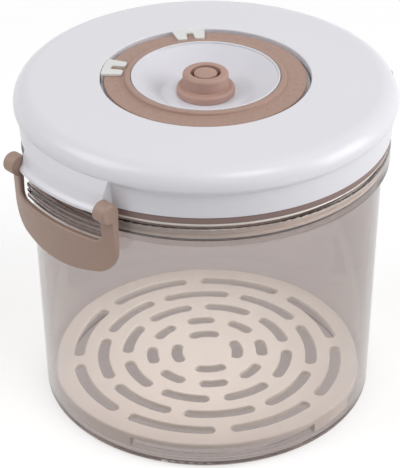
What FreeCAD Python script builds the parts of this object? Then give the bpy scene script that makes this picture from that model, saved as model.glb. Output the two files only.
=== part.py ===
import FreeCAD, Part
import os
from math import asin, cos, degrees, radians, sin, sqrt, tan
from FreeCAD import Vector

# A round vacuum storage canister: a clear container with a drain tray, and a lid with a date dial,
# a vacuum well with its valve, and two hinged clips. Millimetres, +Z up, origin on the table under
# the middle of the container, clips on the X axis.

# Container
container_height = 111.0
wall = 2.4
wall_radius_top = 67.6
wall_taper = 2.3
bottom_round = 3.0
floor_corner_round = 1.2
base_thickness = 2.2
foot_recess = 1.1
foot_width = 5.0
collar_step = 2.8
collar_height = 7.8
collar_round = 0.9
rim_round = 0.6

# Catches on the collar, one under each clip
lug_rise = 1.2
lug_reach = 4.4
lug_height = 6.0
lug_angle = 31.0
lug_grooves = 2
groove_depth = 0.8
groove_width = 1.0

# Drain tray
tray_clearance = 1.1
tray_seat_gap = 0.1
tray_thickness = 2.0
tray_edge_round = 0.8
tray_foot_height = 4.2
tray_foot_width = 2.6
tray_foot_angle = 20.0
tray_feet = 4
tray_turn = 7.3
slot_width = 4.5
slot_edge_round = 0.5
first_slot_radius = 12.4
slot_border = 9.4
slot_counts = (4, 8, 8, 8, 8)
slot_spans = (38.0, 18.0, 27.0, 32.0, 33.6)
slot_ring_shifts = (0.5, 0.0, 0.5, 0.0, 0.5)

# Lid cover
lid_wall = 2.2
lid_crown = 1.0
lid_edge_round = 7.0
edge_overhang = 1.5
edge_lower_round = 1.4
edge_band = 0.9
skirt_height = 19.8
skirt_overhang = 0.2
skirt_draft = 0.4
crease_depth = 9.8
dial_hole_round = 0.5
dial_wall_depth = 6.0

# Clip tabs on the lid cover
tab_depth = 6.1
tab_drop = 0.9
tab_lip_height = 1.5
tab_lip_round = 0.7
tab_lip_reach = 1.3
tab_lip_flare = 1.5
tab_hollow_round = 2.0
tab_ridge_setback = 2.4
tab_ridge_height = 7.5
tab_ridge_round = 6.0

# Lid liner, plug and gasket
rim_gap = 1.2
lip_thickness = 0.7
lip_setback = 0.3
lip_round = 0.25
flange_setback = 0.1
flange_thickness = 2.6
flange_round = 0.4
cover_seat_gap = 0.1
plug_clearance = 0.6
plug_wall = 2.2
plug_reach = 7.5
plug_floor = 2.0
locating_rib_height = 3.6
locating_rib_wall = 2.0
locating_clearance = 0.2
seal_clearance = 0.3
seal_body = 2.1
seal_foot_height = 1.2
seal_fins = 2
fin_height = 1.6
fin_tip = 0.5
fin_tip_round = 0.2

# Vacuum well
well_lip_radius = 28.1
well_lip_wall = 0.9
well_lip_rise = 0.45
well_depth = 7.2
well_floor_radius = 16.5
well_floor = 1.8
well_flange_depth = 3.1
well_flange_thickness = 1.9
well_floor_round = 3.0
well_shoulder_round = 2.0
well_lip_depth = 0.3
vent_holes = 6
vent_radius = 0.8
vent_circle_radius = 8.2

# Turret that carries the well on the liner, and its ring seal
turret_bore = 13.4
turret_wall = 3.6
turret_gap = 0.1
o_ring_section = 1.4
o_ring_groove_width = 1.6

# Date ring and its two pointers
ring_clearance = 0.15
ring_recess = 0.9
ring_width = 9.95
dial_gap = 1.55
bead_width = 2.4
bead_rise = 1.25
bead_round = 0.8
bead_taper = 0.3
ring_rim_thickness = 1.0
ring_rim_overlap = 1.3
pointer_gap = 0.12
pointer_clearance = 0.3
pointer_rise = 0.2
pointer_angle = 19.0
pointer_reach = 8.2
pointer_slot_width = 3.0
pointer_slot_length = 5.3
pointer_tip_round = 1.2
month_pointer_at = 124.5
day_pointer_at = 55.7

# Valve
valve_rise = 1.6
valve_radius = 8.7
valve_top_round = 1.3
valve_flange_radius = 11.05
valve_flange_height = 3.2
valve_flange_round = 1.2
moat_radius = 5.7
hub_radius = 5.2
hub_height = 3.0
hub_clearance = 0.05
button_radius = 4.4
button_thickness = 2.0
button_dome = 0.35
button_crown_radius = 2.0
button_crown_round = 2.0
stem_radius = 1.9
stem_clearance = 0.05
seal_disc_radius = 4.6
seal_disc_thickness = 1.2
seal_disc_gap = 0.05
retainer_radius = 3.2
retainer_thickness = 1.0
stem_tail = 0.6
spring_wire = 0.45
spring_turns = 3
spring_seat_gap = 0.05
spring_clearance = 0.9

# Clips
clip_clearance = 0.3
clip_thickness = 2.0
tongue_tip_thickness = 1.3
clip_blank_angle = 90.0
clip_half_width = 27.5
catch_gap = 0.5
tongue_length = 16.3
tongue_edge_radius = 66.0
tongue_edge_slope = 12.0
tongue_corner_radius = 11.0
window_corner_radius = 3.0
clip_edge_round = 0.8
pivot_out = 0.3
pivot_drop = 18.4
ear_setout = 1.9
ear_radius = 3.9
ear_width = 5.6
ear_side_gap = 0.3
ear_edge_round = 0.9
peg_radius = 1.1
peg_length = 3.0
peg_clearance = 0.05
peg_end_gap = 0.3

# Edge roundings shared by several pieces
fine_edge = 0.3
soft_edge = 0.5
inner_corner = 1.0

# Spare angle on blanks that are trimmed to width afterwards
blank_margin = 6.0

# Sizes worked out from those above: radii
wall_radius_foot = wall_radius_top - wall_taper
collar_radius = wall_radius_top + collar_step
collar_inner_radius = collar_radius - wall
wall_inner_top = wall_radius_top - wall
wall_inner_foot = wall_radius_foot - wall
lug_radius = collar_radius + lug_reach
tray_radius = wall_inner_foot - tray_clearance
slot_ring_pitch = (tray_radius - slot_border - first_slot_radius) / (len(slot_counts) - 1)
skirt_foot_radius = collar_radius + skirt_overhang
crease_radius = skirt_foot_radius + skirt_draft
lid_radius = crease_radius + edge_overhang
skirt_inner_radius = skirt_foot_radius - lid_wall
flange_radius = collar_radius - flange_setback
lip_radius = collar_radius - lip_setback
plug_radius = wall_inner_top - plug_clearance
seal_radius = collar_inner_radius - seal_clearance
turret_radius = turret_bore + turret_wall
ring_inner_radius = well_lip_radius + ring_clearance
ring_radius = ring_inner_radius + ring_width
dial_hole_radius = ring_radius + dial_gap
pointer_radius = dial_hole_radius - pointer_clearance
clip_inner_radius = lug_radius + clip_clearance
pivot_radius = crease_radius + pivot_out
ear_middle = pivot_radius + ear_setout
tab_radius = crease_radius + tab_depth
ear_inner = clip_half_width - ear_width
tab_half_width = ear_inner - ear_side_gap

# Sizes worked out from those above: heights above the table
rim = container_height
collar_foot = rim - collar_height
ledge = collar_foot + wall
lug_foot = collar_foot + lug_rise
floor = foot_recess + base_thickness
tray_seat = floor + tray_seat_gap
tray_under = tray_seat + tray_foot_height
tray_top = tray_under + tray_thickness
lip_under = rim + rim_gap
flange_under = lip_under + lip_thickness
flange_top = flange_under + flange_thickness
skirt_foot = flange_top + cover_seat_gap
lid_top = skirt_foot + skirt_height
crease = lid_top - crease_depth
plug_foot = rim - plug_reach
ring_top = lid_top - ring_recess
well_flange_top = lid_top - well_flange_depth
well_flange_under = well_flange_top - well_flange_thickness
well_floor_top = lid_top - well_depth
well_under = well_floor_top - well_floor
turret_top = well_under - turret_gap
hub_top = well_floor_top + hub_height
button_top = lid_top + valve_rise
button_under = button_top - button_dome - button_thickness
seal_disc_top = well_under - seal_disc_gap
seal_disc_under = seal_disc_top - seal_disc_thickness
retainer_under = seal_disc_under - retainer_thickness
pivot_height = lid_top - pivot_drop
tab_foot = skirt_foot - tab_drop
edge_foot = lid_top - lid_crown - lid_edge_round - edge_band
plate_top = lug_foot - catch_gap
tongue_foot = plate_top - tongue_length

axis_foot = Vector(0, 0, 0)
up = Vector(0, 0, 1)
tolerance = 0.01


def rounded_wire(corners):
    """Closed wire in the XZ plane through corners (x, z, round), each rounded by its own radius."""
    turns = []
    for index, (x, z, corner_round) in enumerate(corners):
        here = Vector(x, 0, z)
        if corner_round == 0:
            turns.append((here, None, here))
            continue
        before = corners[index - 1]
        after = corners[(index + 1) % len(corners)]
        back = (Vector(before[0], 0, before[1]) - here).normalize()
        ahead = (Vector(after[0], 0, after[1]) - here).normalize()
        half = back.getAngle(ahead) / 2
        inward = (back + ahead).normalize()
        reach = corner_round / tan(half)
        middle = here + inward * (corner_round / sin(half) - corner_round)
        turns.append((here + back * reach, middle, here + ahead * reach))
    edges = []
    for index, (start, middle, end) in enumerate(turns):
        if middle is not None:
            edges.append(Part.Arc(start, middle, end).toShape())
        following = turns[(index + 1) % len(turns)][0]
        if (following - end).Length > 1e-6:
            edges.append(Part.makeLine(end, following))
    return Part.Wire(edges)


def lathe(corners, sweep=360.0, start=0.0):
    """Solid turned about the Z axis from a profile of (radius, height, round) corners."""
    solid = Part.Face(rounded_wire(corners)).revolve(axis_foot, up, sweep)
    return turned(solid, start)


def prism(corners, width):
    """Solid of an (x, z, round) outline, as wide as asked along Y, centred on the XZ plane."""
    solid = Part.Face(rounded_wire(corners)).extrude(Vector(0, width, 0))
    solid.translate(Vector(0, -width / 2, 0))
    return solid


def turned(shape, angle):
    """The shape turned about the Z axis by an angle in degrees."""
    copy = shape.copy()
    copy.rotate(axis_foot, up, angle)
    return copy


def disc(radius, height_from, height_to):
    """Cylinder on the Z axis between two heights."""
    return Part.makeCylinder(radius, height_to - height_from, Vector(0, 0, height_from))


def bar(radius, x, z, y_from, y_to):
    """Cylinder along Y through (x, z)."""
    return Part.makeCylinder(radius, y_to - y_from, Vector(x, y_from, z), Vector(0, 1, 0))


def edges_where(shape, test):
    """The edges of a shape whose middle point passes a test."""
    chosen = []
    for edge in shape.Edges:
        middle = edge.valueAt((edge.FirstParameter + edge.LastParameter) / 2)
        if test(edge, middle):
            chosen.append(edge)
    return chosen


def catch_lug():
    """Ribbed catch on the collar at +X: a short ring sector with grooves round its face."""
    pitch = lug_height / (lug_grooves + 1)
    inner = collar_radius - wall / 2
    lug = lathe([(inner, lug_foot, 0), (lug_radius, lug_foot, fine_edge),
                 (lug_radius, lug_foot + lug_height, fine_edge), (inner, lug_foot + lug_height, 0)],
                lug_angle, -lug_angle / 2)
    for number in range(lug_grooves):
        groove_foot = lug_foot + pitch * (number + 1) - groove_width / 2
        groove_top = groove_foot + groove_width
        groove = lathe([(lug_radius - groove_depth, groove_foot, fine_edge),
                        (lug_radius + groove_depth, groove_foot, 0),
                        (lug_radius + groove_depth, groove_top, 0),
                        (lug_radius - groove_depth, groove_top, fine_edge)],
                       lug_angle, -lug_angle / 2)
        lug = lug.cut(groove)
    return lug


def container_body():
    """Clear container: base with a foot ring, drafted wall, collar with a gasket ledge, and two catches."""
    foot_outer = wall_radius_foot
    profile = [(0, foot_recess, 0),
               (foot_outer - bottom_round - foot_width, foot_recess, 0),
               (foot_outer - bottom_round - foot_width, 0, soft_edge),
               (foot_outer, 0, bottom_round),
               (wall_radius_top, collar_foot, soft_edge),
               (collar_radius, collar_foot, collar_round),
               (collar_radius, rim, rim_round),
               (collar_inner_radius, rim, rim_round),
               (collar_inner_radius, ledge, fine_edge),
               (wall_inner_top, ledge, soft_edge),
               (wall_inner_foot, floor, floor_corner_round),
               (0, floor, 0)]
    body = lathe(profile)
    lug = catch_lug()
    return body.fuse([lug, turned(lug, 180)]).removeSplitter()


def slot(radius, span):
    """Round-ended slot along an arc of the given mid radius, centred on the X axis, through the tray."""
    half_width = slot_width / 2
    half_span = radians(span / 2)

    def at(distance, angle):
        return Vector(distance * cos(angle), distance * sin(angle), 0)

    inner = radius - half_width
    outer = radius + half_width
    cap = half_width / radius
    edges = [Part.Arc(at(outer, -half_span), at(outer, 0), at(outer, half_span)).toShape(),
             Part.Arc(at(outer, half_span), at(radius, half_span + cap), at(inner, half_span)).toShape(),
             Part.Arc(at(inner, half_span), at(inner, 0), at(inner, -half_span)).toShape(),
             Part.Arc(at(inner, -half_span), at(radius, -half_span - cap), at(outer, -half_span)).toShape()]
    hole = Part.Face(Part.Wire(edges)).extrude(Vector(0, 0, 3 * tray_thickness))
    hole.translate(Vector(0, 0, tray_under - tray_thickness))
    return hole


def drain_tray():
    """Loose tray: a round plate with five rings of drain slots, standing on four curved feet."""
    plate = lathe([(0, tray_under, 0), (tray_radius, tray_under, 0),
                   (tray_radius, tray_top, tray_edge_round), (0, tray_top, 0)])
    slots = []
    for ring, count in enumerate(slot_counts):
        pitch = 360.0 / count
        shift = slot_ring_shifts[ring] * pitch
        hole = slot(first_slot_radius + ring * slot_ring_pitch, slot_spans[ring])
        slots += [turned(hole, shift + pitch * number) for number in range(count)]
    plate = plate.cut(slots)
    rims = edges_where(plate, lambda edge, middle: abs(middle.z - tray_top) < 1e-4
                       and sqrt(middle.x ** 2 + middle.y ** 2) < tray_radius - slot_width / 2)
    plate = plate.makeFillet(slot_edge_round, rims)
    foot_inner = tray_radius - tray_foot_width
    foot = lathe([(foot_inner, tray_seat, fine_edge), (tray_radius, tray_seat, fine_edge),
                  (tray_radius, tray_under + tray_thickness / 2, 0),
                  (foot_inner, tray_under + tray_thickness / 2, 0)],
                 tray_foot_angle, -tray_foot_angle / 2)
    feet = [turned(foot, 360.0 / tray_feet * number) for number in range(tray_feet)]
    return turned(plate.fuse(feet).removeSplitter(), tray_turn)


def clip_tab():
    """Sloping block on the lid skirt at +X that a clip hinges on, with a peg socket in each end."""
    mid_wall_radius = skirt_foot_radius - lid_wall / 2
    lip_top = tab_foot + tab_lip_height
    hollow_radius = tab_radius - tab_lip_reach
    ridge_radius = tab_radius - tab_ridge_setback
    ridge = tab_foot + tab_ridge_height
    slope = (edge_foot - ridge) / (ridge_radius - lid_radius)
    top_radius = lid_radius - lid_wall / 2
    top = edge_foot + slope * (lid_radius - top_radius)
    profile = [(skirt_inner_radius, tab_foot, 0),
               (tab_radius, tab_foot, tab_lip_round),
               (tab_radius, lip_top, tab_lip_round),
               (hollow_radius, lip_top + tab_lip_flare, tab_hollow_round),
               (ridge_radius, ridge, tab_ridge_round),
               (top_radius, top, 0),
               (skirt_inner_radius, top, 0)]
    sweep = 2 * degrees(asin(tab_half_width / skirt_inner_radius)) + blank_margin
    tab = lathe(profile, sweep, -sweep / 2)
    span = 2 * tab_half_width
    tab = tab.common(Part.makeBox(tab_radius, span, lid_top, Vector(0, -tab_half_width, 0)))
    tab = tab.cut(disc(mid_wall_radius, 0, lid_top))
    tab = tab.cut(disc(skirt_foot_radius + skirt_overhang, 0, skirt_foot + fine_edge))
    socket_depth = peg_length + peg_end_gap
    for side in (-1, 1):
        socket_ends = sorted((side * (tab_half_width - socket_depth), side * ear_inner))
        tab = tab.cut(bar(peg_radius + peg_clearance, pivot_radius, pivot_height, *socket_ends))
    return tab


def lid_cover():
    """White top shell: flat top with a dial hole, rounded edge, skirt and two clip tabs."""
    inner_top = lid_top - lid_wall
    edge_top = lid_top - lid_crown
    inner_edge_radius = crease_radius - lid_wall
    dial_wall_radius = dial_hole_radius + lid_wall
    dial_wall_foot = lid_top - dial_wall_depth
    shell = lathe([(dial_hole_radius, dial_wall_foot, 0),
                   (dial_hole_radius, lid_top, dial_hole_round),
                   (lid_radius, edge_top, lid_edge_round),
                   (lid_radius, edge_foot, edge_lower_round),
                   (crease_radius, crease, edge_lower_round),
                   (skirt_foot_radius, skirt_foot, fine_edge),
                   (skirt_inner_radius, skirt_foot, 0),
                   (inner_edge_radius, crease, 0),
                   (inner_edge_radius, inner_top - lid_crown, lid_edge_round - lid_wall),
                   (dial_wall_radius, inner_top, soft_edge),
                   (dial_wall_radius, dial_wall_foot, 0)])
    tab = clip_tab()
    return shell.fuse([tab, turned(tab, 180)]).removeSplitter()


def lid_liner():
    """Lower lid shell: visible flange, plug that enters the container, and the turret under the well."""
    rib_outer = skirt_inner_radius - locating_clearance
    rib_inner = rib_outer - locating_rib_wall
    rib_top = flange_top + locating_rib_height
    plug_inner = plug_radius - plug_wall
    plug_floor_top = plug_foot + plug_floor
    groove_middle = turret_bore + turret_wall / 2
    groove_foot = turret_top + turret_gap - o_ring_section
    return lathe([(turret_bore, plug_foot, 0),
                  (plug_radius, plug_foot, soft_edge),
                  (plug_radius, flange_under, 0),
                  (flange_radius, flange_under, flange_round),
                  (flange_radius, flange_top, flange_round),
                  (rib_outer, flange_top, 0),
                  (rib_outer, rib_top, fine_edge),
                  (rib_inner, rib_top, fine_edge),
                  (rib_inner, flange_top, 0),
                  (plug_inner, flange_top, 0),
                  (plug_inner, plug_floor_top, inner_corner),
                  (turret_radius, plug_floor_top, inner_corner),
                  (turret_radius, turret_top, fine_edge),
                  (groove_middle + o_ring_groove_width / 2, turret_top, 0),
                  (groove_middle + o_ring_groove_width / 2, groove_foot, 0),
                  (groove_middle - o_ring_groove_width / 2, groove_foot, 0),
                  (groove_middle - o_ring_groove_width / 2, turret_top, 0),
                  (turret_bore, turret_top, fine_edge)])


def well_o_ring():
    """Ring seal between the turret and the underside of the well."""
    section_radius = o_ring_section / 2
    return Part.makeTorus(turret_bore + turret_wall / 2, section_radius,
                          Vector(0, 0, well_under - section_radius))


def lid_gasket():
    """Silicone gasket round the plug: a lip over the rim, fins inside the collar and a wide foot."""
    foot = ledge + seal_clearance
    foot_top = foot + seal_foot_height
    body_radius = plug_radius + seal_body
    fin_pitch = (lip_under - foot_top) / seal_fins
    profile = [(plug_radius, foot, 0), (seal_radius, foot, fin_tip_round),
               (seal_radius, foot_top, fin_tip_round), (body_radius, foot_top, 0)]
    for number in range(seal_fins):
        middle = foot_top + fin_pitch * (number + 1 / 2)
        profile += [(body_radius, middle - fin_height / 2, 0),
                    (seal_radius, middle - fin_tip / 2, fin_tip_round),
                    (seal_radius, middle + fin_tip / 2, fin_tip_round),
                    (body_radius, middle + fin_height / 2, 0)]
    profile += [(body_radius, lip_under, 0), (lip_radius, lip_under, lip_round),
                (lip_radius, flange_under, lip_round), (plug_radius, flange_under, 0)]
    return lathe(profile)


def vacuum_well():
    """White dish that the pump cup seals on, with a valve hub, vents, and the flange under the dial."""
    stem_bore = stem_radius + stem_clearance
    lip_top = lid_top + well_lip_rise
    lip_inner = well_lip_radius - well_lip_wall
    well = lathe([(stem_bore, well_under, 0),
                  (well_floor_radius + well_floor / 2, well_under, inner_corner),
                  (lip_inner, well_flange_under, well_shoulder_round),
                  (pointer_radius, well_flange_under, 0),
                  (pointer_radius, well_flange_top, 0),
                  (well_lip_radius, well_flange_top, 0),
                  (well_lip_radius, lip_top, fine_edge),
                  (lip_inner, lip_top, fine_edge),
                  (lip_inner, lid_top - well_lip_depth, fine_edge),
                  (well_floor_radius, well_floor_top, well_floor_round),
                  (hub_radius, well_floor_top, 0),
                  (hub_radius, hub_top, fine_edge),
                  (stem_bore, hub_top, 0)])
    vent = disc(vent_radius, well_under - well_floor, well_floor_top + well_floor)
    vent.translate(Vector(vent_circle_radius, 0, 0))
    return well.cut([turned(vent, 360.0 / vent_holes * number) for number in range(vent_holes)])


def date_ring():
    """Dial ring: flat band for the numbers, a raised inner bead and a thin rim the pointers hook under."""
    ring_under = well_flange_top
    bead_top = ring_top + bead_rise
    return lathe([(ring_inner_radius, ring_under, 0),
                  (ring_radius - ring_rim_overlap, ring_under, 0),
                  (ring_radius - ring_rim_overlap, ring_top - ring_rim_thickness, 0),
                  (ring_radius, ring_top - ring_rim_thickness, 0),
                  (ring_radius, ring_top, fine_edge),
                  (ring_inner_radius + bead_width, ring_top, fine_edge),
                  (ring_inner_radius + bead_width - bead_taper, bead_top, bead_round),
                  (ring_inner_radius, bead_top, bead_round / 2)])


def date_pointer(angle):
    """Sliding date pointer: a forked head over the ring, a leg beside it and a toe hooked under its rim."""
    head_under = ring_top + pointer_gap
    head_top = lid_top + pointer_rise
    leg_inner = ring_radius + pointer_clearance
    toe_inner = ring_radius - ring_rim_overlap + pointer_clearance
    toe_foot = well_flange_top + pointer_gap
    toe_top = ring_top - ring_rim_thickness - pointer_gap
    tip_radius = pointer_radius - pointer_reach
    blank = lathe([(tip_radius, head_under, 0), (leg_inner, head_under, 0),
                   (leg_inner, toe_top, 0), (toe_inner, toe_top, 0), (toe_inner, toe_foot, 0),
                   (pointer_radius, toe_foot, 0), (pointer_radius, head_top, fine_edge),
                   (tip_radius, head_top, fine_edge)], pointer_angle + blank_margin,
                  -(pointer_angle + blank_margin) / 2)
    half_slot = pointer_slot_width / 2
    slot_end = tip_radius + pointer_slot_length
    half_angle = radians(pointer_angle / 2)
    back = dial_hole_radius
    fork = prism([(back, -back * sin(half_angle), 0), (back, back * sin(half_angle), 0),
                  (tip_radius, tip_radius * sin(half_angle), pointer_tip_round),
                  (tip_radius, half_slot, pointer_tip_round), (slot_end, half_slot, half_slot / 2),
                  (slot_end, -half_slot, half_slot / 2), (tip_radius, -half_slot, pointer_tip_round),
                  (tip_radius, -tip_radius * sin(half_angle), pointer_tip_round)], 2 * lid_top)
    fork.rotate(axis_foot, Vector(1, 0, 0), 90)
    pointer = blank.common(fork)
    return turned(pointer, angle)


def valve_boot():
    """Silicone valve: a flange that covers the vents and a tall round body with a moat round the button."""
    top = button_top
    flange_top_z = well_floor_top + valve_flange_height
    hub_bore = hub_radius + hub_clearance
    return lathe([(hub_bore, well_floor_top, 0),
                  (valve_flange_radius, well_floor_top, soft_edge),
                  (valve_flange_radius, flange_top_z, valve_flange_round),
                  (valve_radius, flange_top_z, fine_edge),
                  (valve_radius, top, valve_top_round),
                  (moat_radius, top, soft_edge),
                  (moat_radius, hub_top, 0),
                  (hub_bore, hub_top, 0)])


def valve_button():
    """Release button: a slightly domed head on a stem that runs down through the hub."""
    tail = retainer_under - stem_tail
    return lathe([(0, tail, 0), (stem_radius, tail, fine_edge), (stem_radius, button_under, 0),
                  (button_radius, button_under, fine_edge),
                  (button_radius, button_top - button_dome, soft_edge),
                  (button_crown_radius, button_top, button_crown_round), (0, button_top, 0)])


def stem_ring(radius, height_from, height_to):
    """Flat ring on the button stem."""
    return lathe([(stem_radius, height_from, 0), (radius, height_from, fine_edge),
                  (radius, height_to, fine_edge), (stem_radius, height_to, 0)])


def valve_seal():
    """Silicone disc that closes the stem hole from below."""
    return stem_ring(seal_disc_radius, seal_disc_under, seal_disc_top)


def valve_retainer():
    """Push-on ring that holds the seal disc on the stem."""
    return stem_ring(retainer_radius, retainer_under, seal_disc_under)


def valve_spring():
    """Return spring round the stem, from the hub to the button, coiled from quarter-turn arcs."""
    coil_radius = (stem_radius + moat_radius) / 2 - spring_clearance / 2
    foot = hub_top + spring_wire / 2 + spring_seat_gap
    head = button_under - spring_wire / 2 - spring_seat_gap
    quarters = 4 * spring_turns

    def at(turn):
        angle = radians(360.0 * turn)
        height = foot + (head - foot) * turn / spring_turns
        return Vector(coil_radius * cos(angle), coil_radius * sin(angle), height)

    arcs = []
    for quarter in range(quarters):
        start = quarter / 4
        arcs.append(Part.Arc(at(start), at(start + 1 / 8), at(start + 1 / 4)).toShape())
    path = Part.Wire(arcs)
    direction = arcs[0].tangentAt(arcs[0].FirstParameter)
    section = Part.Wire(Part.makeCircle(spring_wire / 2, at(0), direction))
    return path.makePipeShell([section], True, False)


def clip_outer_at(height):
    """Outer radius of the clip plate at a height: it thins towards the tip of the tongue."""
    thinning = (clip_thickness - tongue_tip_thickness) / tongue_length
    return clip_inner_radius + clip_thickness + (height - plate_top) * thinning


def clip_plate():
    """Curved plate at +X with a window above it, its two arms ending at the hinge."""
    blank_foot = tongue_foot - clip_thickness
    shell = lathe([(clip_inner_radius, blank_foot, 0),
                   (clip_outer_at(blank_foot), blank_foot, 0),
                   (clip_outer_at(pivot_height), pivot_height, 0),
                   (clip_inner_radius, pivot_height, 0)], clip_blank_angle, -clip_blank_angle / 2)
    through = 4 * clip_inner_radius
    slope = radians(tongue_edge_slope)
    edge_point = tongue_foot - tongue_edge_radius * (1 / cos(slope) - 1)
    corner_height = edge_point + clip_half_width * tan(slope)
    outline = prism([(-clip_half_width, corner_height, tongue_corner_radius),
                     (0, edge_point, tongue_edge_radius),
                     (clip_half_width, corner_height, tongue_corner_radius),
                     (clip_half_width, pivot_height, 0),
                     (-clip_half_width, pivot_height, 0)], through)
    window = prism([(-ear_inner, plate_top, window_corner_radius),
                    (ear_inner, plate_top, window_corner_radius),
                    (ear_inner, lid_top, 0), (-ear_inner, lid_top, 0)], through)
    plate = shell.common(turned(outline, 90)).cut(turned(window, 90))

    def on_outer_face(edge, middle):
        inward = clip_outer_at(middle.z) - sqrt(middle.x ** 2 + middle.y ** 2)
        return middle.z < pivot_height - tolerance and abs(inward) < tolerance

    return plate.makeFillet(clip_edge_round, edges_where(plate, on_outer_face))


def clip():
    """Clip at +X: the plate with its arms, and on each arm a hinge ear with a peg for the lid tab."""
    pieces = []
    for side in (-1, 1):
        ear = bar(ear_radius, ear_middle, pivot_height, *sorted((side * ear_inner, side * clip_half_width)))
        rims = edges_where(ear, lambda edge, middle: abs(edge.tangentAt(edge.FirstParameter).y) < tolerance
                           and abs(middle.y) > clip_half_width - tolerance)
        pieces.append(ear.makeFillet(ear_edge_round, rims))
        peg_ends = sorted((side * (tab_half_width - peg_length), side * (ear_inner + ear_side_gap)))
        pieces.append(bar(peg_radius, pivot_radius, pivot_height, *peg_ends))
    return clip_plate().fuse(pieces).removeSplitter()


right_clip = clip()
parts = {
    "container_body": container_body(),
    "drain_tray": drain_tray(),
    "lid_cover": lid_cover(),
    "lid_liner": lid_liner(),
    "lid_gasket": lid_gasket(),
    "vacuum_well": vacuum_well(),
    "well_o_ring": well_o_ring(),
    "date_ring": date_ring(),
    "month_pointer": date_pointer(month_pointer_at),
    "day_pointer": date_pointer(day_pointer_at),
    "valve_boot": valve_boot(),
    "valve_button": valve_button(),
    "valve_seal": valve_seal(),
    "valve_retainer": valve_retainer(),
    "valve_spring": valve_spring(),
    "clip_right": right_clip,
    "clip_left": turned(right_clip, 180),
}

os.makedirs("parts", exist_ok=True)
for name, shape in parts.items():
    shape.exportStep(f"parts/{name}.step")
    print(name, len(shape.Solids), shape.isValid(), round(shape.Volume, 1))
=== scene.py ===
from math import cos, radians, sin

import bmesh
import bpy
from bpy.props import FloatProperty, FloatVectorProperty, IntProperty, PointerProperty
from bpy.types import Operator, Panel, PropertyGroup
from mathutils import Matrix, Quaternion, Vector


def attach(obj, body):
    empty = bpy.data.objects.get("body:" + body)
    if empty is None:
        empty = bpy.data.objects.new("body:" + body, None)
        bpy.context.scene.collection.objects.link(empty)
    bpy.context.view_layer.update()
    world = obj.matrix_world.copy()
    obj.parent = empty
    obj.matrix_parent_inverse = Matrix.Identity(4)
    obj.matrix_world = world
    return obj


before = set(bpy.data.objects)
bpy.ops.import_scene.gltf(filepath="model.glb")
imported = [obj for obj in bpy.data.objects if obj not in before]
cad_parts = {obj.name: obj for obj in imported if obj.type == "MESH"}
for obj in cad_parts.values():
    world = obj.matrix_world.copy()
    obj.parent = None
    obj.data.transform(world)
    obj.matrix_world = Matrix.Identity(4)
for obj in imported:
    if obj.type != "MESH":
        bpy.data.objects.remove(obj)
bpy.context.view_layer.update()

bl_info = {
    "name": "Vacuum Canister",
    "version": (1, 0, 0),
    "blender": (4, 5, 0),
    "location": "View3D > Sidebar > Canister",
    "description": "Dresses the vacuum storage canister with its surfaces, dial numbers, light and camera",
    "category": "Object",
}

# Range that most of a noise value falls in
noise_low = 0.3
noise_high = 0.7

# Layers of detail in the clouded tone and in the finer noises
cloud_detail = 4.0
fine_detail = 2.0

# How much smaller the patches of roughness are than the clouds of tone
patches_per_cloud = 3.0

# Height of the mould grain in metres at a depth of 1
grain_height = 0.0001

# Steps in each round stretch of a dial number
number_steps = 3

white = (1.0, 1.0, 1.0, 1.0)


def colour_property(name, description, default):
    """A linear colour that shows as a swatch in the sidebar."""
    return FloatVectorProperty(name=name, description=description, default=default, subtype="COLOR",
                               size=3, min=0.0, max=1.0)


def length_property(name, description, default):
    """A length in metres."""
    return FloatProperty(name=name, description=description, default=default, unit="LENGTH",
                         subtype="DISTANCE", precision=5)


def angle_property(name, description, default):
    """An angle, given in degrees and kept in radians."""
    return FloatProperty(name=name, description=description, default=radians(default), unit="ROTATION",
                         subtype="ANGLE")


def power_property(name, description, default):
    """A lamp's power in watts."""
    return FloatProperty(name=name, description=description, default=default, unit="POWER", precision=3)


def optics_property(name, description, default):
    """A camera length in millimetres."""
    return FloatProperty(name=name, description=description, default=default, unit="CAMERA")


def level_property(name, description, default):
    """A plain level, such as a grey or a strength."""
    return FloatProperty(name=name, description=description, default=default, min=0.0)


def count_property(name, description, default):
    """A count of at least one."""
    return IntProperty(name=name, description=description, default=default, min=1)


class CanisterColours(PropertyGroup):
    """Colours of the pieces."""

    clear: colour_property("Clear", "Tint of the clear plastic's surface", (0.79, 0.762, 0.755))
    pane: colour_property("Pane", "Tint that lamp light takes on at each clear face", (0.95, 0.93, 0.92))
    smoke: colour_property("Smoke", "Colour that the plastic's depth lets through", (0.40, 0.288, 0.252))
    smoke_density: level_property("Smoke density", "How much light a metre of that depth takes up", 125.0)
    lid: colour_property("Lid", "White of the lid", (0.78, 0.775, 0.82))
    # Painted shade: the well's white is the lid's white made darker, standing in for the shade in the
    # recessed well.
    well: colour_property("Well", "White of the pump well", (0.72, 0.715, 0.765))
    # Painted shade: the band's taupe is darker than the other taupes, standing in for the shade under the
    # lid's skirt.
    band: colour_property("Band", "Taupe of the lid's lower shell", (0.235, 0.155, 0.14))
    dial: colour_property("Dial", "Taupe of the date ring", (0.40, 0.26, 0.21))
    number: colour_property("Number", "Tone of the raised dial numbers", (0.47, 0.325, 0.27))
    pointer: colour_property("Pointer", "White of the date pointers", (0.76, 0.77, 0.745))
    clip: colour_property("Clip", "Taupe of the clips", (0.37, 0.25, 0.198))
    tray: colour_property("Tray", "Cream of the drain tray", (0.88, 0.857, 0.80))
    valve: colour_property("Valve", "Taupe of the valve silicone", (0.45, 0.283, 0.233))
    # Partly the seals' own pale silicone, partly painted light: made lighter to make up for the shade under
    # the lid's skirt and behind the collar.
    seal: colour_property("Seal", "Pale silicone of the seals", (0.94, 0.885, 0.83))
    steel: colour_property("Steel", "Spring wire", (0.60, 0.60, 0.62))


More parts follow.
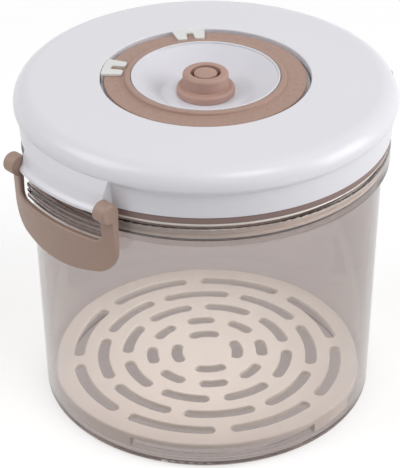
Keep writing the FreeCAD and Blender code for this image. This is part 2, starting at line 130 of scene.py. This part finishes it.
class DialSizes(PropertyGroup):
    """Places and sizes of the marks on the date ring."""

    face: length_property("Face", "Height of the ring's flat face above the table", 0.1345)
    relief: length_property("Relief", "How far the marks stand up from the face", 0.00008)
    sunk: length_property("Sunk", "How far the marks reach into the face", 0.00004)
    number_radius: length_property("Number radius", "Middle of the numbers from the axis", 0.0340)
    number_height: length_property("Number height", "Height of a number", 0.0022)
    tick_inner: length_property("Tick start", "Inner end of a tick from the axis", 0.0362)
    tick_outer: length_property("Tick end", "Outer end of a tick from the axis", 0.0374)
    tick_width: length_property("Tick width", "Width of a tick", 0.00028)
    first_month: angle_property("First month", "Angle of month 1 from +X", 160.0)
    month_step: angle_property("Month step", "Angle from one month to the next", 7.1)
    months: count_property("Months", "Numbers on the month scale", 12)
    first_day: angle_property("First day", "Angle of day 1 from +X", 55.7)
    day_step: angle_property("Day step", "Angle from one day to the next", 7.8)
    days: count_property("Days", "Numbers on the day scale", 31)


class StageSettings(PropertyGroup):
    """Camera, lamps, even light and floor."""

    azimuth: angle_property("Azimuth", "Camera direction round the object", -44.0)
    elevation: angle_property("Elevation", "Camera height above the horizon", 31.97)
    roll: angle_property("Roll", "Camera turn about its own axis", -0.41)
    distance: length_property("Distance", "Camera to the point it looks at", 0.77073)
    aim_height: length_property("Aim height", "Height of the point the camera looks at", 0.06525)
    aim_side: length_property("Aim side", "Offset of that point to the camera's right", -0.00254)
    lens: optics_property("Lens", "Focal length of the camera", 150.55)
    sensor: optics_property("Sensor", "Width of the camera's sensor", 36.0)
    lamp_distance: length_property("Lamp distance", "Lamps to the point they look at", 2.0)
    lamp_aim: length_property("Lamp aim", "Height of the point the lamps look at", 0.07)
    key_lamp: power_property("Key lamp", "Power of the lamp at the front", 9.5)
    key_turn: angle_property("Key turn", "Key lamp to the right of the camera", 35.0)
    key_height: angle_property("Key height", "Key lamp above the horizon", 58.0)
    key_width: length_property("Key width", "Width of the key lamp", 0.8)
    right_lamp: power_property("Right lamp", "Power of the lamp on the right", 20.0)
    right_turn: angle_property("Right turn", "Right lamp to the right of the camera", 85.0)
    right_height: angle_property("Right height", "Right lamp above the horizon", 20.0)
    right_width: length_property("Right width", "Width of the right lamp", 1.2)
    left_lamp: power_property("Left lamp", "Power of the lamp on the left", 14.0)
    left_turn: angle_property("Left turn", "Left lamp to the right of the camera", -80.0)
    left_height: angle_property("Left height", "Left lamp above the horizon", 45.0)
    left_width: length_property("Left width", "Width of the left lamp", 1.2)
    inner_lamp: power_property("Inner lamp", "Power of the fill above the tray", 0.064)
    inner_width: length_property("Inner width", "Width of the fill above the tray", 0.118)
    inner_height: length_property("Inner height", "Height of the fill above the table", 0.084)
    ambient: level_property("Ambient", "Strength of the even light", 0.33)
    floor_reach: length_property("Floor reach", "From the axis to the floor's sides", 4.0)
    floor_drop: length_property("Floor drop", "Gap between the object's foot and the floor", 0.0002)
    floor_tone: level_property("Floor tone", "Grey of the floor where it lights the object", 0.68)
    floor_shown: level_property("Floor shown", "Grey of the floor where it is seen", 0.54)
    floor_under: level_property("Floor under", "Grey of the floor that clear plastic shows", 0.20)
    floor_glow: level_property("Floor glow", "Lift of the floor towards white", 0.54)
    floor_through: level_property("Floor through", "Added lift where clear plastic shows the floor", 0.26)
    floor_far: level_property("Floor far", "Added lift of the floor far from the object", 0.5)
    floor_near_edge: length_property("Floor near edge", "Distance from the axis where that starts", 0.35)
    floor_far_edge: length_property("Floor far edge", "Distance from the axis where it is full", 1.6)


def node(tree, kind, **values):
    """A new shader node with the given attributes."""
    made = tree.nodes.new(kind)
    for key, value in values.items():
        setattr(made, key, value)
    return made


def feed(tree, socket, value):
    """Sets a socket to a number, or links another socket to it."""
    if isinstance(value, (int, float)):
        socket.default_value = value
    else:
        tree.links.new(value, socket)


def remap(tree, value, low, high, start=noise_low, end=noise_high, clamp=False):
    """Maps a value's range from start to end, by default a noise's, to the range from low to high."""
    made = node(tree, "ShaderNodeMapRange", clamp=clamp)
    for name, given in (("Value", value), ("From Min", start), ("From Max", end), ("To Min", low),
                        ("To Max", high)):
        feed(tree, made.inputs[name], given)
    return made.outputs["Result"]


def combine(tree, operation, first, second):
    """Result of a math node on two sockets or numbers."""
    made = node(tree, "ShaderNodeMath", operation=operation)
    for socket, value in zip(made.inputs, (first, second)):
        feed(tree, socket, value)
    return made.outputs["Value"]


def choose(tree, mask, outside, inside):
    """One of two levels: outside where the mask is 0, inside where it is 1."""
    made = node(tree, "ShaderNodeMix", data_type="FLOAT")
    for name, value in (("Factor", mask), ("A", outside), ("B", inside)):
        feed(tree, made.inputs[name], value)
    return made.outputs["Result"]


def object_noise(tree, scale, detail):
    """Noise at the given scale, fixed to the object."""
    made = node(tree, "ShaderNodeTexNoise")
    tree.links.new(node(tree, "ShaderNodeTexCoord").outputs["Object"], made.inputs["Vector"])
    feed(tree, made.inputs["Scale"], scale)
    feed(tree, made.inputs["Detail"], detail)
    return made.outputs["Fac"]


def spread_round(tree, noise, middle, spread):
    """Lets a noise vary a level by a spread to both sides of its middle."""
    return remap(tree, noise, combine(tree, "SUBTRACT", middle, spread),
                 combine(tree, "ADD", middle, spread))


def new_group(name, inputs, outputs):
    """A shader node group with float and colour sockets, and its two end nodes."""
    tree = bpy.data.node_groups.new(name, "ShaderNodeTree")
    for side, sockets in (("INPUT", inputs), ("OUTPUT", outputs)):
        for socket in sockets:
            kind = "NodeSocketColor" if socket == "Colour" else "NodeSocketFloat"
            tree.interface.new_socket(socket, in_out=side, socket_type=kind)
    return tree, node(tree, "NodeGroupInput"), node(tree, "NodeGroupOutput")


def tone_group(name):
    """Clouds the colour and the roughness a little, as in moulded plastic."""
    tree, start, end = new_group(name, ("Colour", "Spread", "Scale", "Roughness", "Rough Spread"),
                                 ("Colour", "Roughness"))
    scale = start.outputs["Scale"]
    clouds = object_noise(tree, scale, cloud_detail)
    patches = object_noise(tree, combine(tree, "MULTIPLY", scale, patches_per_cloud), fine_detail)
    shade = node(tree, "ShaderNodeVectorMath", operation="SCALE")
    tree.links.new(start.outputs["Colour"], shade.inputs["Vector"])
    tree.links.new(spread_round(tree, clouds, 1.0, start.outputs["Spread"]), shade.inputs["Scale"])
    tree.links.new(shade.outputs["Vector"], end.inputs["Colour"])
    rough = spread_round(tree, patches, start.outputs["Roughness"], start.outputs["Rough Spread"])
    tree.links.new(rough, end.inputs["Roughness"])
    return tree


def grain_group(name):
    """The height of a spark-eroded mould face."""
    tree, start, end = new_group(name, ("Scale",), ("Height",))
    grain = object_noise(tree, start.outputs["Scale"], fine_detail)
    tree.links.new(remap(tree, grain, 0.0, 1.0), end.inputs["Height"])
    return tree


def shared_group(name, maker):
    """The shared node group of that name, made on first use."""
    return bpy.data.node_groups.get(name) or maker(name)


def plastic(name, colour, roughness, spread=0.02, scale=70.0, rough_spread=0.04, grain=900.0, depth=0.1,
            **values):
    """A moulded plastic, silicone or wire with clouded tone and a fine grain; values set shader sockets."""
    material = bpy.data.materials.new(name)
    material.use_nodes = True
    tree = material.node_tree
    tree.nodes.clear()
    shader = node(tree, "ShaderNodeBsdfPrincipled")
    tone = node(tree, "ShaderNodeGroup", node_tree=shared_group("Moulded Tone", tone_group))
    tone.inputs["Colour"].default_value = (*colour, 1.0)
    for socket, value in (("Spread", spread), ("Scale", scale), ("Roughness", roughness),
                          ("Rough Spread", rough_spread)):
        tone.inputs[socket].default_value = value
    fine = node(tree, "ShaderNodeGroup", node_tree=shared_group("Fine Grain", grain_group))
    fine.inputs["Scale"].default_value = grain
    bump = node(tree, "ShaderNodeBump")
    bump.inputs["Strength"].default_value = depth
    bump.inputs["Distance"].default_value = grain_height
    tree.links.new(tone.outputs["Colour"], shader.inputs["Base Color"])
    tree.links.new(tone.outputs["Roughness"], shader.inputs["Roughness"])
    tree.links.new(fine.outputs["Height"], bump.inputs["Height"])
    tree.links.new(bump.outputs["Normal"], shader.inputs["Normal"])
    for socket, value in values.items():
        shader.inputs[socket.replace("_", " ")].default_value = value
    end = node(tree, "ShaderNodeOutputMaterial")
    tree.links.new(shader.outputs["BSDF"], end.inputs["Surface"])
    return material


def let_lamps_through(material, tint):
    """Lets rays from lamps pass a clear wall as through a tinted pane."""
    tree = material.node_tree
    end = tree.nodes["Material Output"]
    shader = tree.nodes["Principled BSDF"]
    path = node(tree, "ShaderNodeLightPath")
    pane = node(tree, "ShaderNodeBsdfTransparent")
    pane.inputs["Color"].default_value = (*tint, 1.0)
    mix = node(tree, "ShaderNodeMixShader")
    tree.links.new(path.outputs["Is Shadow Ray"], mix.inputs["Fac"])
    tree.links.new(shader.outputs["BSDF"], mix.inputs[1])
    tree.links.new(pane.outputs["BSDF"], mix.inputs[2])
    tree.links.new(mix.outputs["Shader"], end.inputs["Surface"])


def smoke_inside(material, colour, density):
    """Tints light by the depth of clear plastic that it passes."""
    tree = material.node_tree
    haze = node(tree, "ShaderNodeVolumeAbsorption")
    haze.inputs["Color"].default_value = (*colour, 1.0)
    haze.inputs["Density"].default_value = density
    tree.links.new(haze.outputs["Volume"], tree.nodes["Material Output"].inputs["Volume"])


def dress(material, *names):
    """Gives CAD nodes one material."""
    for name in names:
        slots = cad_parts[name].data.materials
        slots.clear()
        slots.append(material)


def add_object(name, data):
    """A new object in the scene."""
    made = bpy.data.objects.new(name, data)
    bpy.context.scene.collection.objects.link(made)
    return made


def finished_mesh(name, bm, material):
    """Turns a bmesh into a mesh of one material."""
    mesh = bpy.data.meshes.new(name)
    bm.to_mesh(mesh)
    bm.free()
    mesh.materials.append(material)
    return mesh


def new_piece(name, bm, material, body):
    """Turns a bmesh into an object of the model that rides on a body."""
    bmesh.ops.recalc_face_normals(bm, faces=bm.faces[:])
    piece = add_object(name, finished_mesh(name, bm, material))
    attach(piece, body)


def text_mesh(body, size, depth):
    """A mesh of a raised line of text, centred on the origin."""
    curve = bpy.data.curves.new("Dial text", "FONT")
    curve.body = body
    curve.size = size
    curve.extrude = depth / 2
    curve.resolution_u = number_steps
    curve.align_x = "CENTER"
    curve.align_y = "CENTER"
    carrier = add_object("Dial text", curve)
    graph = bpy.context.evaluated_depsgraph_get()
    mesh = bpy.data.meshes.new_from_object(carrier.evaluated_get(graph))
    bpy.data.objects.remove(carrier)
    bpy.data.curves.remove(curve)
    return mesh


def dial_place(angle, radius, height):
    """Where a mark goes: its top points away from the axis."""
    return (Matrix.Translation((radius * cos(angle), radius * sin(angle), height))
            @ Matrix.Rotation(angle - radians(90.0), 4, "Z"))


def mark_layer(sizes):
    """Thickness of the marks, and the height of its middle above the table."""
    depth = sizes.relief + sizes.sunk
    return depth, sizes.face + sizes.relief - depth / 2


def add_numbers(bm, sizes, count, first, step):
    """Raised numbers of one scale, clockwise from its first angle."""
    depth, height = mark_layer(sizes)
    for number in range(count):
        mesh = text_mesh(str(number + 1), sizes.number_height, depth)
        mesh.transform(dial_place(first - number * step, sizes.number_radius, height))
        bm.from_mesh(mesh)
        bpy.data.meshes.remove(mesh)


def add_ticks(bm, sizes, count, first, step):
    """A short raised tick outside each number."""
    depth, height = mark_layer(sizes)
    radius = (sizes.tick_outer + sizes.tick_inner) / 2
    shape = Matrix.Diagonal((sizes.tick_width, sizes.tick_outer - sizes.tick_inner, depth, 1.0))
    for number in range(count):
        place = dial_place(first - number * step, radius, height)
        bmesh.ops.create_cube(bm, size=1.0, matrix=place @ shape)


class CANISTER_OT_container(Operator):
    """Dress the clear container"""

    bl_idname = "canister.container"
    bl_label = "Container"

    def execute(self, context):
        colours = context.scene.canister_colours
        clear = plastic("Clear smoked plastic", colours.clear, roughness=0.03, rough_spread=0.015,
                        spread=0.012, scale=40.0, grain=120.0, depth=0.02, Transmission_Weight=1.0, IOR=1.49)
        let_lamps_through(clear, colours.pane)
        smoke_inside(clear, colours.smoke, colours.smoke_density)
        dress(clear, "container_body")
        return {"FINISHED"}


class CANISTER_OT_tray(Operator):
    """Dress the drain tray"""

    bl_idname = "canister.tray"
    bl_label = "Drain tray"

    def execute(self, context):
        cream = plastic("Cream matte plastic", context.scene.canister_colours.tray, roughness=0.5, depth=0.12)
        dress(cream, "drain_tray")
        return {"FINISHED"}


class CANISTER_OT_lid(Operator):
    """Dress the lid cover, the pump well, the lower lid shell and the ring on the valve's stem"""

    bl_idname = "canister.lid"
    bl_label = "Lid"

    def execute(self, context):
        colours = context.scene.canister_colours
        # The well gets a copy of the lid's gloss plastic in a darker white, which is painted shade of its
        # recess.
        for name, colour, nodes in (("White gloss plastic", colours.lid, ("lid_cover", "valve_retainer")),
                                    ("Shaded white well plastic", colours.well, ("vacuum_well",))):
            gloss = plastic(name, colour, roughness=0.33, rough_spread=0.03, spread=0.006, scale=14.0,
                            grain=500.0, depth=0.03, Coat_Weight=0.2, Coat_Roughness=0.12)
            dress(gloss, *nodes)
        # The band's darker taupe is painted shade under the lid's skirt.
        dress(plastic("Shaded taupe band plastic", colours.band, roughness=0.42, depth=0.08), "lid_liner")
        return {"FINISHED"}


class CANISTER_OT_dial(Operator):
    """Dress the date ring and its pointers, and add the raised numbers and ticks"""

    bl_idname = "canister.dial"
    bl_label = "Date dial"

    def execute(self, context):
        colours, sizes = context.scene.canister_colours, context.scene.canister_dial
        taupe = plastic("Taupe dial plastic", colours.dial, roughness=0.5, spread=0.035, scale=400.0,
                        grain=2600.0, depth=0.35)
        dress(taupe, "date_ring")
        pale = plastic("White pointer plastic", colours.pointer, roughness=0.34, rough_spread=0.03,
                       depth=0.04)
        dress(pale, "month_pointer", "day_pointer")
        raised = plastic("Dial number plastic", colours.number, roughness=0.45, grain=2600.0, depth=0.2)
        for name, count, first, step in (("month_scale", sizes.months, sizes.first_month, sizes.month_step),
                                         ("day_scale", sizes.days, sizes.first_day, sizes.day_step)):
            bm = bmesh.new()
            add_numbers(bm, sizes, count, first, step)
            add_ticks(bm, sizes, count, first, step)
            new_piece(name, bm, raised, "lid")
        return {"FINISHED"}


class CANISTER_OT_valve(Operator):
    """Dress the valve boot, its button and the spring"""

    bl_idname = "canister.valve"
    bl_label = "Valve"

    def execute(self, context):
        colours = context.scene.canister_colours
        silicone = plastic("Taupe silicone", colours.valve, roughness=0.55, spread=0.03, depth=0.1)
        dress(silicone, "valve_boot", "valve_button")
        wire = plastic("Spring steel", colours.steel, roughness=0.22, spread=0.05, scale=900.0, depth=0.05,
                       Metallic=1.0)
        dress(wire, "valve_spring")
        return {"FINISHED"}


class CANISTER_OT_seals(Operator):
    """Dress the gasket, the ring seal and the valve's seal disc"""

    bl_idname = "canister.seals"
    bl_label = "Seals"

    def execute(self, context):
        # The seals' pale colour is partly painted light, lightened against the shade under the lid and behind
        # the collar.
        silicone = plastic("Pale silicone", context.scene.canister_colours.seal, roughness=0.5, depth=0.06)
        dress(silicone, "lid_gasket", "well_o_ring", "valve_seal")
        return {"FINISHED"}


class CANISTER_OT_clips(Operator):
    """Dress the two clips"""

    bl_idname = "canister.clips"
    bl_label = "Clips"

    def execute(self, context):
        taupe = plastic("Taupe clip plastic", context.scene.canister_colours.clip, roughness=0.42,
                        spread=0.025, grain=1400.0, depth=0.14)
        dress(taupe, "clip_right", "clip_left")
        return {"FINISHED"}


def seen_rays(tree):
    """1 for rays that show a surface to the camera, straight, mirrored or through a clear wall."""
    path = node(tree, "ShaderNodeLightPath")
    bent = combine(tree, "MAXIMUM", path.outputs["Is Glossy Ray"], path.outputs["Is Transmission Ray"])
    return combine(tree, "MAXIMUM", path.outputs["Is Camera Ray"], bent)


def add_background(ambient):
    """White behind the object, and an even light of the given strength on it."""
    world = bpy.data.worlds.new("Studio")
    world.use_nodes = True
    bpy.context.scene.world = world
    tree = world.node_tree
    tree.nodes.clear()
    back = node(tree, "ShaderNodeBackground")
    back.inputs["Color"].default_value = white
    tree.links.new(choose(tree, seen_rays(tree), ambient, 1.0), back.inputs["Strength"])
    end = node(tree, "ShaderNodeOutputWorld")
    tree.links.new(back.outputs["Background"], end.inputs["Surface"])


def floor_tone(tree, stage):
    """Grey of the floor, by what a ray is for."""
    through = node(tree, "ShaderNodeLightPath").outputs["Is Transmission Ray"]
    shown = choose(tree, seen_rays(tree), stage.floor_tone, stage.floor_shown)
    return choose(tree, through, shown, stage.floor_under)


def floor_lift(tree, stage):
    """Glow that takes the seen floor to white, stronger far away and behind clear plastic."""
    through = node(tree, "ShaderNodeLightPath").outputs["Is Transmission Ray"]
    spot = node(tree, "ShaderNodeVectorMath", operation="LENGTH")
    tree.links.new(node(tree, "ShaderNodeTexCoord").outputs["Object"], spot.inputs["Vector"])
    glow = remap(tree, spot.outputs["Value"], stage.floor_glow, stage.floor_glow + stage.floor_far,
                 stage.floor_near_edge, stage.floor_far_edge, clamp=True)
    return combine(tree, "ADD", combine(tree, "MULTIPLY", seen_rays(tree), glow),
                   combine(tree, "MULTIPLY", through, stage.floor_through))


def add_floor(stage):
    """Pale matte floor that keeps the shadow."""
    material = bpy.data.materials.new("Pale floor")
    material.use_nodes = True
    tree = material.node_tree
    shader = tree.nodes["Principled BSDF"]
    for name, value in (("Base Color", floor_tone(tree, stage)), ("Roughness", 1.0),
                        ("Specular IOR Level", 0.0), ("Emission Strength", floor_lift(tree, stage))):
        feed(tree, shader.inputs[name], value)
    shader.inputs["Emission Color"].default_value = white
    bm = bmesh.new()
    bmesh.ops.create_grid(bm, size=stage.floor_reach,
                          matrix=Matrix.Translation((0.0, 0.0, -stage.floor_drop)))
    floor = add_object("Floor", finished_mesh("Floor", bm, material))


def outward(azimuth, elevation):
    """Unit vector from the object towards a place at that azimuth and elevation."""
    return Vector((sin(azimuth) * cos(elevation), -cos(azimuth) * cos(elevation), sin(elevation)))


def add_area_lamp(name, power, width):
    """Area lamp of that power and width, at the origin and facing down."""
    light = bpy.data.lights.new(name, "AREA")
    light.energy = power
    light.size = width
    return add_object(name, light)


def add_lamp(stage, name, power, turn, elevation, width):
    """Soft square lamp at a turn from the camera that looks at the middle of the object."""
    lamp = add_area_lamp(name, power, width)
    towards = outward(stage.azimuth + turn, elevation)
    lamp.location = Vector((0.0, 0.0, stage.lamp_aim)) + towards * stage.lamp_distance
    lamp.rotation_euler = (-towards).to_track_quat("-Z", "Y").to_euler()


def add_inner_lamp(stage):
    """Round fill above the tray, which never shows itself."""
    lamp = add_area_lamp("Inner lamp", stage.inner_lamp, stage.inner_width)
    lamp.data.shape = "DISK"
    lamp.location = (0.0, 0.0, stage.inner_height)
    lamp.visible_camera = False
    lamp.visible_glossy = False
    lamp.visible_transmission = False


def add_camera(stage):
    """Camera at the photo's place."""
    data = bpy.data.cameras.new("Camera")
    data.lens = stage.lens
    data.sensor_width = stage.sensor
    camera = add_object("Camera", data)
    back = outward(stage.azimuth, stage.elevation)
    side = Vector((cos(stage.azimuth), sin(stage.azimuth), 0.0))
    camera.location = Vector((0.0, 0.0, stage.aim_height)) + side * stage.aim_side + back * stage.distance
    turn = (-back).to_track_quat("-Z", "Y") @ Quaternion((0.0, 0.0, 1.0), stage.roll)
    camera.rotation_euler = turn.to_euler()
    bpy.context.scene.camera = camera


class CANISTER_OT_stage(Operator):
    """Set the background, floor, lamps and camera"""

    bl_idname = "canister.stage"
    bl_label = "Stage"

    def execute(self, context):
        stage = context.scene.canister_stage
        context.scene.view_settings.view_transform = "Standard"
        add_background(stage.ambient)
        add_floor(stage)
        for name, power, turn, height, width in (
                ("Key lamp", stage.key_lamp, stage.key_turn, stage.key_height, stage.key_width),
                ("Right lamp", stage.right_lamp, stage.right_turn, stage.right_height, stage.right_width),
                ("Left lamp", stage.left_lamp, stage.left_turn, stage.left_height, stage.left_width)):
            add_lamp(stage, name, power, turn, height, width)
        add_inner_lamp(stage)
        add_camera(stage)
        return {"FINISHED"}


class CANISTER_PT_build(Panel):
    """Settings and steps of the canister"""

    bl_idname = "CANISTER_PT_build"
    bl_label = "Canister"
    bl_space_type = "VIEW_3D"
    bl_region_type = "UI"
    bl_category = "Canister"

    def draw(self, context):
        for settings in (context.scene.canister_colours, context.scene.canister_dial,
                         context.scene.canister_stage):
            box = self.layout.box()
            for name in settings.__annotations__:
                box.prop(settings, name)
        for step in steps:
            self.layout.operator(step.bl_idname)


groups = (CanisterColours, DialSizes, StageSettings)
steps = (CANISTER_OT_container, CANISTER_OT_tray, CANISTER_OT_lid, CANISTER_OT_dial, CANISTER_OT_valve,
         CANISTER_OT_seals, CANISTER_OT_clips, CANISTER_OT_stage)


def register():
    """Adds the settings, the steps and the panel to Blender."""
    for item in (*groups, *steps, CANISTER_PT_build):
        bpy.utils.register_class(item)
    bpy.types.Scene.canister_colours = PointerProperty(type=CanisterColours)
    bpy.types.Scene.canister_dial = PointerProperty(type=DialSizes)
    bpy.types.Scene.canister_stage = PointerProperty(type=StageSettings)


def unregister():
    """Takes them out again."""
    del bpy.types.Scene.canister_stage
    del bpy.types.Scene.canister_dial
    del bpy.types.Scene.canister_colours
    for item in reversed((*groups, *steps, CANISTER_PT_build)):
        bpy.utils.unregister_class(item)


def main():
    """Builds the whole scene."""
    register()
    bpy.ops.canister.container()
    bpy.ops.canister.tray()
    bpy.ops.canister.lid()
    bpy.ops.canister.dial()
    bpy.ops.canister.valve()
    bpy.ops.canister.seals()
    bpy.ops.canister.clips()
    bpy.ops.canister.stage()


if __name__ == "__main__":
    main()
